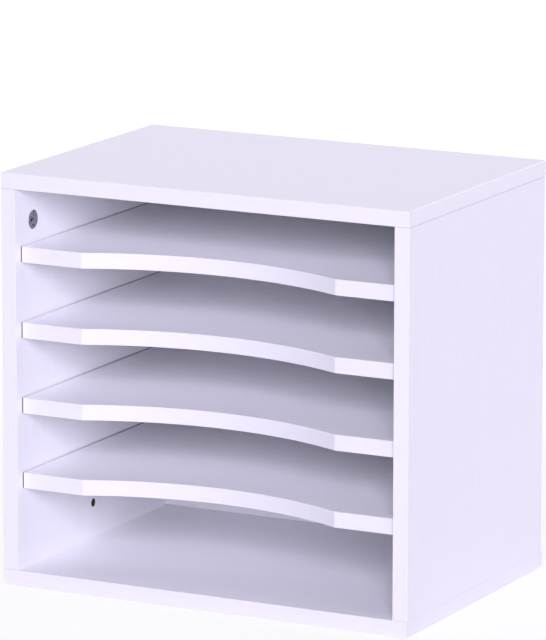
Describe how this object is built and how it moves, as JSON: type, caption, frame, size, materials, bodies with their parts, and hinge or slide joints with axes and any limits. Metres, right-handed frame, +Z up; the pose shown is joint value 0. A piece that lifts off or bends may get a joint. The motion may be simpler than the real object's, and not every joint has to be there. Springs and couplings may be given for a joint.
{
  "type": "letter sorter",
  "caption": "Desktop letter sorter: a board case, open in front, with loose shelves on pins; each shelf's front edge is scooped so that papers can be gripped.",
  "frame": {"origin": "centre of the underside, on the surface that it stands on", "axes": "+Z up; -Y is the open front; +X is the viewer's right when facing the open front"},
  "size_m": [0.35, 0.244, 0.327],
  "materials": {
    "faced_board": "particle board faced in white melamine, fine faint grain, satin",
    "edge_band": "white glued edge band, satin",
    "hardboard": "thin hardboard, white painted face",
    "zinc": "die-cast zinc, dull and mottled",
    "bright_steel": "steel, bright zinc plated",
    "beech": "bare beech"
  },
  "bodies": {
    "carcass": {"top_panel": "faced_board", "base_panel": "faced_board", "left_side_panel": "faced_board", "right_side_panel": "faced_board", "back_panel": "hardboard", "back_nails": "bright_steel", "top_edge_bands": "edge_band", "base_edge_bands": "edge_band", "left_side_edge_band": "edge_band", "right_side_edge_band": "edge_band", "cam_bolts": "bright_steel", "base_screws": "bright_steel", "top_dowels": "beech", "base_dowels": "beech", "shelf_1_pins": "bright_steel", "shelf_2_pins": "bright_steel", "shelf_3_pins": "bright_steel", "shelf_4_pins": "bright_steel"},
    "shelf_1": {"shelf_1": "faced_board", "shelf_1_edge_band": "edge_band"},
    "shelf_2": {"shelf_2": "faced_board", "shelf_2_edge_band": "edge_band"},
    "shelf_3": {"shelf_3": "faced_board", "shelf_3_edge_band": "edge_band"},
    "shelf_4": {"shelf_4": "faced_board", "shelf_4_edge_band": "edge_band"},
    "cam_lock_left_front": {"cam_lock_left_front": "zinc"},
    "cam_lock_left_rear": {"cam_lock_left_rear": "zinc"},
    "cam_lock_right_front": {"cam_lock_right_front": "zinc"},
    "cam_lock_right_rear": {"cam_lock_right_rear": "zinc"}
  },
  "joints": [
    {"name": "shelf_1_slide", "type": "slide", "parent": "carcass", "child": "shelf_1", "axis": [0, -1, 0], "range_m": [0, 0.245]},
    {"name": "shelf_2_slide", "type": "slide", "parent": "carcass", "child": "shelf_2", "axis": [0, -1, 0], "range_m": [0, 0.245]},
    {"name": "shelf_3_slide", "type": "slide", "parent": "carcass", "child": "shelf_3", "axis": [0, -1, 0], "range_m": [0, 0.245]},
    {"name": "shelf_4_slide", "type": "slide", "parent": "carcass", "child": "shelf_4", "axis": [0, -1, 0], "range_m": [0, 0.245]},
    {"name": "cam_lock_left_front_turn", "type": "hinge", "parent": "carcass", "child": "cam_lock_left_front", "pos_m": [-0.1625, -0.094, 0.2865], "axis": [1, 0, 0], "range_deg": [0, 180]},
    {"name": "cam_lock_left_rear_turn", "type": "hinge", "parent": "carcass", "child": "cam_lock_left_rear", "pos_m": [-0.1625, 0.0915, 0.2865], "axis": [1, 0, 0], "range_deg": [0, 180]},
    {"name": "cam_lock_right_front_turn", "type": "hinge", "parent": "carcass", "child": "cam_lock_right_front", "pos_m": [0.1625, -0.094, 0.2865], "axis": [-1, 0, 0], "range_deg": [0, 180]},
    {"name": "cam_lock_right_rear_turn", "type": "hinge", "parent": "carcass", "child": "cam_lock_right_rear", "pos_m": [0.1625, 0.0915, 0.2865], "axis": [-1, 0, 0], "range_deg": [0, 180]}
  ]
}
